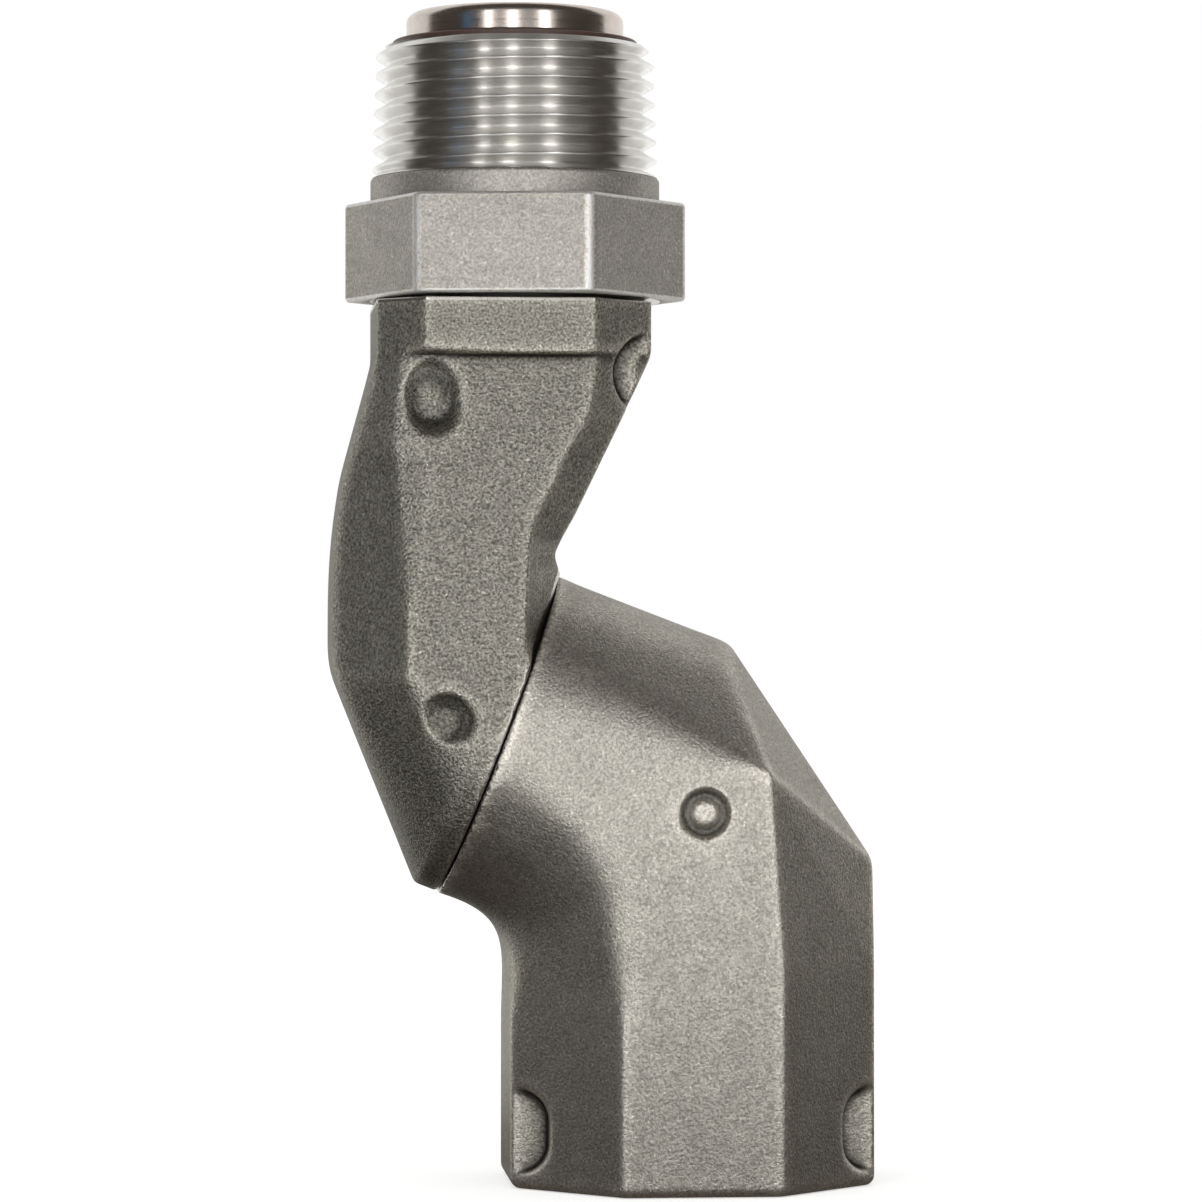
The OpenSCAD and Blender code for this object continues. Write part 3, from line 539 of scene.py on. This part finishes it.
def upperFree(points, normals):
    along, radius = alongSwivel(points)
    rim = 1 - smoothStep(*upperLook["rimCrisp"], along / mm) * (radius < upperLook["discR"] * mm)
    below, above = (collarTop / mm - drop for drop in upperLook["topCrisp"])
    top = 1 - smoothStep(below, above, points[:, 2] / mm)
    return freeShare(upperFixed(points, normals), np.minimum(rim, top))


def upperSoft(points):
    look = upperLook
    x, z = points[:, 0] / mm, points[:, 2] / mm
    along, radius = alongSwivel(points)
    low = ((1 - smoothStep(*look["lowHigh"], z)) * (1 - smoothStep(*look["lowAlong"], along / mm))
           * (1 - smoothStep(*look["lowRadius"], radius / mm)))
    heel = (smoothStep(*look["heelLow"], z) * (1 - smoothStep(*look["heelSide"], x))
            * (1 - smoothStep(*look["heelTop"], z)))
    keep = smoothStep(*look["markKeep"], np.hypot(x - look["markX"], z - look["markZ"]))
    return np.maximum(low, heel) * keep


def upperBright(points, normals):
    along, radius = alongSwivel(points)
    top = points[:, 2] > collarTop - upperLook["collarBand"] * mm
    rim = ((along > -upperLook["rimBand"] * mm) & (radius > upperLook["rimR"] * mm)
           & (radius < upperLook["discR"] * mm))
    return upperFixed(points, normals) | rim | top


makeCasting("upper_body", "upperCasting", upperLook, upperShape, upperHalf, upperFree, upperSoft, upperBright,
            [castUpper, faced], "upper")


# turned pieces: rings of points round an axis, joined into one skin

def cleanSkin(mesh, mergeWithin=0.0):
    sheet = bmesh.new()
    sheet.from_mesh(mesh)
    if mergeWithin:
        bmesh.ops.remove_doubles(sheet, verts=sheet.verts, dist=mergeWithin)
    bmesh.ops.recalc_face_normals(sheet, faces=sheet.faces)
    sheet.to_mesh(mesh)
    sheet.free()
    mesh.polygons.foreach_set("use_smooth", np.ones(len(mesh.polygons), bool))


def ringSkin(name, stations, segments, centreX, materials, closed=True):
    # stations: (radius or radius for every angle, height, material index), in millimetres
    angles = np.arange(segments) * 2 * math.pi / segments
    points = []
    for radius, height, _ in stations:
        radii = radius(angles) if callable(radius) else np.full(segments, float(radius))
        points.append(np.stack([radii * np.cos(angles) * mm + centreX, radii * np.sin(angles) * mm,
                                np.full(segments, height * mm)], axis=1))
    count = len(stations)
    mesh = bpy.data.meshes.new(name)
    faces, slots = [], []
    for ring in range(count if closed else count - 1):
        after = (ring + 1) % count
        for step in range(segments):
            beside = (step + 1) % segments
            faces.append((ring * segments + step, ring * segments + beside,
                          after * segments + beside, after * segments + step))
            slots.append(stations[ring][2])
    mesh.from_pydata(np.concatenate(points).tolist(), [], faces)
    for material in materials:
        mesh.materials.append(material)
    mesh.polygons.foreach_set("material_index", slots)
    cleanSkin(mesh)
    return newObject(name, mesh)


def keepEdges(piece, degrees=32):
    # edges sharper than this stay sharp in the shading
    sharp = math.cos(math.radians(degrees))
    sheet = bmesh.new()
    sheet.from_mesh(piece.data)
    for edge in sheet.edges:
        if len(edge.link_faces) == 2:
            edge.smooth = edge.link_faces[0].normal.dot(edge.link_faces[1].normal) > sharp
    sheet.to_mesh(piece.data)
    sheet.free()


def roundCorner(radius, degrees):
    # inset and drop of points on a quarter round
    return [(radius * (1 - math.cos(math.radians(a))), radius * (1 - math.sin(math.radians(a))))
            for a in degrees]


def hexagon(flats, cornerR, turn):
    # radius of a hexagon with rounded corners, for every angle
    inner = flats / 2 - cornerR

    def radius(angles):
        part = (np.degrees(angles) - turn) % 60 - 30
        reach = inner / math.cos(math.radians(30))
        off = np.radians(30 - np.abs(part))
        onFlat = flats / 2 / np.cos(np.radians(part))
        arc = reach * np.cos(off) + np.sqrt(np.maximum(cornerR ** 2 - (reach * np.sin(off)) ** 2, 0))
        return np.where(np.abs(np.tan(np.radians(part))) * flats / 2 <= inner * math.tan(math.radians(30)),
                        onFlat, arc)
    return radius


# taper pipe thread: 11.5 threads per inch, tapered 1 in 16, so the radius grows 1 mm in 32
threadPitch, taperRun = 2.2087, 32

# cast hexagon with a cut thread, and inside it a thrust washer's pocket, a bushing's, two seal grooves
# and a second bushing's pocket
connectorLook = {
    "hexFlats": 34.9, "hexTurn": -8.0, "hexHigh": 11.5, "hexCornerR": 1.3, "leastCornerR": 0.3,
    "hexEdgeR": 0.5, "shoulderR": 16.9, "shoulderHigh": 2.8, "shoulderEdgeR": 0.4, "shoulderFoot": 0.3,
    "support": 0.05,
    "threadR": 16.7, "threadDepth": 1.55, "crestFlat": 0.1, "rootFlat": 0.1, "flankBlur": 0.03,
    "runOut": 0.8, "lead": 1.5, "rowsPerTurn": 26, "segments": 240, "mergeWithin": 1e-7,
    "boreR": 10.7, "pocketR": 12.5, "grooveR": 12.87, "thrustR": 13.32, "thrustDrop": 0.4, "thrustHigh": 1.4,
    "lowPocket": 5, "rib": 0.9, "singleGroove": 2.4, "pairGroove": 3.9, "topPocket": 11, "baseWide": 4.5,
    # painted highlight and wear on the hexagon's corners and rims: how far round and out it reaches, and its
    # strength
    "wornTurn": 1.6, "wornOutside": 0.2, "wear": 1.5,
}


def threadRadius(look, top, run, angles, high):
    # radius at an angle and a height: the crests lean in by the taper, and fade where the cutter ran out
    turn = (high - top) / threadPitch - angles / (2 * math.pi)
    wave = 0
    for shift in (-look["flankBlur"], 0, look["flankBlur"]):
        phase = (turn + shift) % 1.0
        ramp = (np.abs(phase - 0.5) * 2 - look["rootFlat"]) / (1 - look["rootFlat"] - look["crestFlat"])
        wave = wave + np.clip(ramp, 0, 1) / 3
    crest = look["threadR"] - np.maximum(0, high - (top - run)) / taperRun
    depth = look["threadDepth"] * smoothStep(top - run, top - run + look["runOut"], high)
    return np.minimum(crest - depth * (1 - wave), look["threadR"] - look["lead"] + (top - high))


def makeThread(look, top, run):
    # rows of points climb with the helix, so that one row runs along the whole crest
    rowsPerTurn, segments = look["rowsPerTurn"], look["segments"]
    rows = int((run / threadPitch + 2) * rowsPerTurn)
    angles = np.arange(segments) * 2 * math.pi / segments
    row, step = np.meshgrid(np.arange(rows), np.arange(segments), indexing="ij")
    heights = top - run + (row / rowsPerTurn - 1 + step / segments) * threadPitch
    heights = np.clip(heights, top - run, top)
    radii = threadRadius(look, top, run, angles[None, :], heights)
    points = np.stack([radii * np.cos(angles) * mm + inletX, radii * np.sin(angles) * mm, heights * mm],
                      axis=2)
    faces = []
    for i in range(rows - 1):
        for j in range(segments):
            beside = i * segments + j + 1 if j < segments - 1 else (i + rowsPerTurn) * segments
            if beside + segments < rows * segments:
                faces.append((i * segments + j, beside, beside + segments, (i + 1) * segments + j))
    mesh = bpy.data.meshes.new("maleThread")
    mesh.from_pydata(points.reshape(-1, 3).tolist(), [], faces)
    mesh.materials.append(cutThread)
    cleanSkin(mesh, look["mergeWithin"])
    piece = newObject("maleThread", mesh)
    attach(piece, "connector")
    print("thread made with", len(mesh.polygons), "faces")


def wearAndHighlightCorners(piece, look, base, hexTop):
    # painted highlight and wear: the hexagon's corners and rims are lightened in the colour, partly as rubbed
    # metal and partly as painted highlight
    points = meshPoints(piece.data) / mm
    turn = np.degrees(np.arctan2(points[:, 1], points[:, 0] - inletX / mm)) - look["hexTurn"]
    corner = np.abs(turn % 60 - 30) > 30 - look["wornTurn"]
    rim = np.minimum(np.abs(points[:, 2] - base), np.abs(points[:, 2] - hexTop)) < look["hexEdgeR"]
    outside = np.hypot(points[:, 0] - inletX / mm, points[:, 1]) > look["shoulderR"] + look["wornOutside"]
    wornAndHighlit = outside & (corner | rim) & (points[:, 2] <= hexTop)
    setRelief(piece.data, np.where(wornAndHighlit, castLook["reliefMm"] * look["wear"], 0))


def makeConnector(look):
    low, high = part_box("male_connector")
    base, top = low.z / mm, high.z / mm
    hexTop = base + look["hexHigh"]
    threadBase = hexTop + look["shoulderHigh"]
    threadR, edge = look["threadR"], look["hexEdgeR"]

    def hexAt(inset):
        return hexagon(look["hexFlats"] - 2 * inset, max(look["hexCornerR"] - inset, look["leastCornerR"]),
                       look["hexTurn"])

    # rings close beside the edges keep the flats' shading even
    bend = [(inset, rise) for rise, inset in roundCorner(edge, range(0, 91, 18))]
    bend.append((0.0, edge + look["support"]))
    outside = [(hexAt(inset), base + rise, 0) for inset, rise in bend]
    outside += [(hexAt(inset), hexTop - rise, 0) for inset, rise in reversed(bend)]
    shoulderR, soft = look["shoulderR"], look["shoulderEdgeR"]
    outside += [(shoulderR, height, 0) for height in (hexTop, hexTop + look["shoulderFoot"],
                                                      threadBase - soft - look["support"], threadBase - soft)]
    outside += [(shoulderR - inset, threadBase - drop, 0) for inset, drop in roundCorner(soft, (30, 60, 90))]
    outside.append((threadR, threadBase, 0))

    bore, pocket, groove = look["boreR"], look["pocketR"], look["grooveR"]
    thrustTop = base - look["thrustDrop"] + look["thrustHigh"]
    pocketTop = thrustTop + look["lowPocket"]
    singleLow = pocketTop + look["rib"]
    singleTop = singleLow + look["singleGroove"]
    pairLow = singleTop + look["rib"]
    pairTop = pairLow + look["pairGroove"]
    # from the top down: radius and lower end of each step of the bore
    stations = [(threadR - look["lead"], top, 1)]
    start = top
    for radius, end in ((pocket, top - look["topPocket"]), (bore, pairTop), (groove, pairLow),
                        (bore, singleTop), (groove, singleLow), (bore, pocketTop), (pocket, thrustTop),
                        (look["thrustR"], base)):
        stations += [(radius, start, 2), (radius, end, 2)]
        start = end
    stations += [(pocket + look["baseWide"], base, 0)] + outside
    piece = ringSkin("maleConnector", stations, look["segments"], inletX, [castHex, cutThread, facedUp],
                     closed=False)
    makeThread(look, top, top - threadBase)
    # painted highlight and wear on the hexagon's corners and rims
    wearAndHighlightCorners(piece, look, base, hexTop)
    keepEdges(piece)
    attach(piece, "connector")
    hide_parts("male_connector")
    print("connector made with", len(piece.data.polygons), "faces")


makeConnector(connectorLook)

# polished head on the inlet stem, with a broached key hole
stemLook = {"shankR": 10.6, "shankEdge": 0.4, "headR": 12.7, "headHigh": 3.3, "headEdge": 0.25,
            "headRoundR": 1.2, "keyFlats": 16.9, "keyCornerR": 0.4, "keyMouthR": 0.5, "keyDeep": 4.2,
            "keyEdge": 0.3, "keyCone": 0.3, "boreR": 8.0, "seatRelief": 0.03, "segments": 240}


def makeStem(look):
    low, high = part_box("inlet_stem")
    base, top = low.z / mm, high.z / mm
    seat = top - look["headHigh"] + look["seatRelief"]
    shankR, headR, chamfer, edge = look["shankR"], look["headR"], look["shankEdge"], look["headEdge"]
    key = hexagon(look["keyFlats"], look["keyCornerR"], 0)
    keyMouth = hexagon(look["keyFlats"] + 2 * look["keyEdge"], look["keyMouthR"], 0)
    stations = [(look["boreR"], base, 0), (shankR - chamfer, base, 0), (shankR, base + chamfer, 0),
                (shankR, seat, 0), (headR - edge, seat, 0), (headR, seat + edge, 0)]
    stations += [(headR - inset, top - drop, 0)
                 for inset, drop in roundCorner(look["headRoundR"], range(0, 91, 10))]
    stations += [(keyMouth, top, 0), (key, top - look["keyEdge"], 0), (key, top - look["keyDeep"], 0),
                 (look["boreR"], top - look["keyDeep"] - look["keyCone"], 0)]
    piece = ringSkin("inletHead", stations, look["segments"], inletX, [nickel])
    keepEdges(piece)
    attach(piece, "upper")
    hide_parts("inlet_stem")


makeStem(stemLook)

# flat brown washer under the head, its outer edges broken
washerLook = {"innerR": 10.8, "outerR": 14.3, "edgeR": 0.12, "segments": 240}


def makeHeadWasher(look):
    low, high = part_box("head_thrust_washer")
    base, top = low.z / mm, high.z / mm
    inner, outer, edge = look["innerR"], look["outerR"], look["edgeR"]
    stations = [(inner, base, 0), (outer - edge, base, 0), (outer, base + edge, 0), (outer, top - edge, 0),
                (outer - edge, top, 0), (inner, top, 0)]
    piece = ringSkin("headWasher", stations, look["segments"], inletX, [acetal])
    keepEdges(piece)
    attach(piece, "connector")
    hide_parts("head_thrust_washer")


makeHeadWasher(washerLook)

# female taper pipe thread in the foot, as a sleeve that sits in the port's wall
portLook = {"wallR": 15.35, "rootR": 15.2, "crestR": 14.1, "rootFlat": 0.1, "flankShare": 0.8, "start": 1.3,
            "depth": 19.8, "fadeMm": 1.2, "leastThread": 0.02, "rowMm": 0.14, "segments": 192}


def makePortThread(look):
    start, depth = look["start"], look["depth"]
    rows = int((depth - start) / look["rowMm"])

    def innerAt(high):
        def radius(angles):
            phase = (high / threadPitch - angles / (2 * math.pi)) % 1.0
            wave = np.clip((np.abs(phase - 0.5) * 2 - look["rootFlat"]) / look["flankShare"], 0, 1)
            fade = min(1.0, (high - start) / look["fadeMm"], (depth - high) / look["fadeMm"])
            tall = look["rootR"] - look["crestR"] + high / taperRun
            return look["rootR"] - tall * wave * max(fade, look["leastThread"])
        return radius

    stations = [(look["wallR"], start, 0), (look["wallR"], depth, 0)]
    for row in range(rows + 1):
        high = depth - (depth - start) * row / rows
        stations.append((innerAt(high), high, 0))
    piece = ringSkin("femaleThread", stations, look["segments"], 0.0, [facedUp])
    keepEdges(piece)
    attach(piece, "lower")


makePortThread(portLook)
print("turned pieces made")

# CAD nodes that stay, with their own finishes
kept = {
    "elbow_stem": steel, "elbow_retaining_ring": springSteel,
    "elbow_bushing": acetal, "elbow_thrust_washer": acetal, "connector_lower_bushing": acetal,
    "connector_upper_bushing": acetal, "connector_thrust_washer": acetal,
    "elbow_dust_seal": rubber, "connector_dust_seal": rubber, "elbow_static_oring": rubber,
    "elbow_outer_oring": rubber, "elbow_inner_oring": rubber, "inlet_static_oring": rubber,
    "connector_lower_oring": rubber, "connector_upper_oring": rubber,
    "elbow_backup_ring": ptfe, "connector_backup_ring": ptfe,
}
for nodeName, material in kept.items():
    node = nodes[nodeName]
    if not node.material_slots:
        node.data.materials.append(material)
    for materialSlot in node.material_slots:
        materialSlot.material = material
print("kept nodes finished")

# camera, floor and light
bpy.context.scene.view_settings.view_transform = "Standard"

cameraLook = {"azimuth": -4.8, "elevation": -0.407, "distance": 581.09, "target": (-9.925, 0, 67.71),
              "focalPixels": 4957.5, "imagePixels": 1202, "sensorMm": 36, "clip": (0.01, 100)}


def makeCamera(look):
    azimuth, elevation = math.radians(look["azimuth"]), math.radians(look["elevation"])
    back = Vector((math.sin(azimuth) * math.cos(elevation), -math.cos(azimuth) * math.cos(elevation),
                   math.sin(elevation)))
    data = bpy.data.cameras.new("photoCamera")
    data.sensor_width = look["sensorMm"]
    data.lens = look["focalPixels"] * data.sensor_width / look["imagePixels"]
    data.clip_start, data.clip_end = look["clip"]
    data.dof.use_dof = False
    camera = newObject("photoCamera", data)
    camera.location = Vector(look["target"]) * mm + back * look["distance"] * mm
    camera.rotation_mode = "QUATERNION"
    camera.rotation_quaternion = (-back).to_track_quat("-Z", "Y")
    bpy.context.scene.camera = camera


makeCamera(cameraLook)

# white studio with a pale matt floor
stageLook = {"floorHalf": 20.0, "floorGapMm": 0.05, "floorColour": "#f4f4f2", "floorGlow": 0.55,
             "skyStrength": 0.6}


def backgroundRays(tree):
    # camera, mirror and glass rays all see the white background
    path = addNode(tree, "ShaderNodeLightPath")
    first = addNode(tree, "ShaderNodeMath", {"operation": "MAXIMUM"}, _0=path.outputs["Is Camera Ray"],
                    _1=path.outputs["Is Glossy Ray"])
    return addNode(tree, "ShaderNodeMath", {"operation": "MAXIMUM"}, _0=first.outputs[0],
                   _1=path.outputs["Is Transmission Ray"]).outputs[0]


def makeStage(look):
    world = bpy.data.worlds.new("studio")
    world.use_nodes = True
    tree = world.node_tree
    tree.nodes.clear()
    seen = addNode(tree, "ShaderNodeBackground", {"Color": (1, 1, 1, 1), "Strength": 1.0})
    sky = addNode(tree, "ShaderNodeBackground", {"Color": (1, 1, 1, 1), "Strength": look["skyStrength"]})
    mixed = addNode(tree, "ShaderNodeMixShader", _0=backgroundRays(tree), _1=sky.outputs[0],
                    _2=seen.outputs[0])
    addNode(tree, "ShaderNodeOutputWorld", Surface=mixed.outputs[0])
    bpy.context.scene.world = world

    half = look["floorHalf"]
    mesh = bpy.data.meshes.new("floor")
    mesh.from_pydata([(-half, -half, 0), (half, -half, 0), (half, half, 0), (-half, half, 0)], [],
                     [(0, 1, 2, 3)])
    floor = newObject("floor", mesh)
    floor.location.z = -look["floorGapMm"] * mm
    material, tree = newMaterial("paleFloor")
    plain = addNode(tree, "ShaderNodeBsdfDiffuse", {"Color": fromHex(look["floorColour"])})
    glow = addNode(tree, "ShaderNodeEmission", {"Strength": look["floorGlow"]})
    dark = addNode(tree, "ShaderNodeEmission", {"Strength": 0.0})
    light = addNode(tree, "ShaderNodeMixShader", _0=backgroundRays(tree), _1=dark.outputs[0],
                    _2=glow.outputs[0])
    both = addNode(tree, "ShaderNodeAddShader", _0=plain.outputs[0], _1=light.outputs[0])
    closeMaterial(tree, both)
    mesh.materials.append(material)


def makeCard(name, corners, colour, radiance):
    # a card beside the set that only mirror rays see, as a photographer shapes the shine of metal
    mesh = bpy.data.meshes.new(name)
    mesh.from_pydata(corners, [], [(0, 1, 2, 3)])
    material, tree = newMaterial(name)
    closeMaterial(tree, addNode(tree, "ShaderNodeEmission", {"Color": fromHex(colour), "Strength": radiance}))
    mesh.materials.append(material)
    card = newObject(name, mesh)
    card.visible_camera = False
    card.visible_diffuse = False
    card.visible_shadow = False
    card.visible_transmission = False


# strips: (azimuth in degrees, width as a share of the distance, radiance, distance, colour)
cardLook = {
    "side": 0.3, "front": -0.4, "back": 0.08, "high": 0.36, "low": -0.00002, "darkness": 0.07,
    "flagColour": "#ffefe2", "floorFront": -0.1,
    "greyPlace": 1.25, "greyWide": 1.0, "greyHigh": 1.0, "grey": 0.4, "greyColour": "#ffffff",
    "stripMiddle": 0.07, "stripHigh": (-0.25, 0.55),
    "strips": ((-32, 0.13, 4.5, 1.0, "#ffffff"), (-6, 0.15, 4.5, 1.0, "#ffffff"),
               (28, 0.17, 4.5, 1.0, "#ffffff"), (-54, 0.16, 0.5, 0.28, "#6f9fd0")),
}


def makeCards(look):
    side, front, back, high, low = (look[key] for key in ("side", "front", "back", "high", "low"))
    edge = look["floorFront"]
    flags = {
        "flagLeft": [(-side, front, low), (-side, back, low), (-side, back, high), (-side, front, high)],
        "flagRight": [(side, front, low), (side, back, low), (side, back, high), (side, front, high)],
        "flagTop": [(-side, front, high), (side, front, high), (side, back, high), (-side, back, high)],
        "flagFloor": [(-side, edge, low), (side, edge, low), (side, back, low), (-side, back, low)],
    }
    for name, corners in flags.items():
        makeCard(name, corners, look["flagColour"], look["darkness"])
    far, wide, tall = look["greyPlace"], look["greyWide"], look["greyHigh"]
    makeCard("greyFront", [(-wide, -far, low), (wide, -far, low), (wide, -far, tall), (-wide, -far, tall)],
             look["greyColour"], look["grey"])
    for index, (azimuth, width, radiance, reach, colour) in enumerate(look["strips"]):
        angle = math.radians(azimuth)
        middle = Vector((inletX + math.sin(angle) * reach, -math.cos(angle) * reach, look["stripMiddle"]))
        across = Vector((math.cos(angle), math.sin(angle), 0)) * width * reach / 2
        down, top = (Vector((0, 0, z * reach)) for z in look["stripHigh"])
        corners = [middle - across + down, middle + across + down, middle + across + top,
                   middle - across + top]
        makeCard("strip%d" % index, [tuple(corner) for corner in corners], colour, radiance)


# one large soft box, high in front and to the left
lampLook = {"place": (-0.3, -1.2, 0.7), "aim": (-0.01, 0, 0.07), "size": (1.4, 1.0), "watts": 2.0}


def makeLamp(name, look):
    data = bpy.data.lights.new(name, "AREA")
    data.shape = "RECTANGLE"
    data.size, data.size_y = look["size"]
    data.energy = look["watts"]
    lamp = newObject(name, data)
    lamp.location = look["place"]
    lamp.visible_glossy = False
    lamp.rotation_mode = "QUATERNION"
    lamp.rotation_quaternion = (Vector(look["aim"]) - Vector(look["place"])).to_track_quat("-Z", "Y")


makeStage(stageLook)
makeCards(cardLook)
makeLamp("frontSoftbox", lampLook)
print("stage and light made")
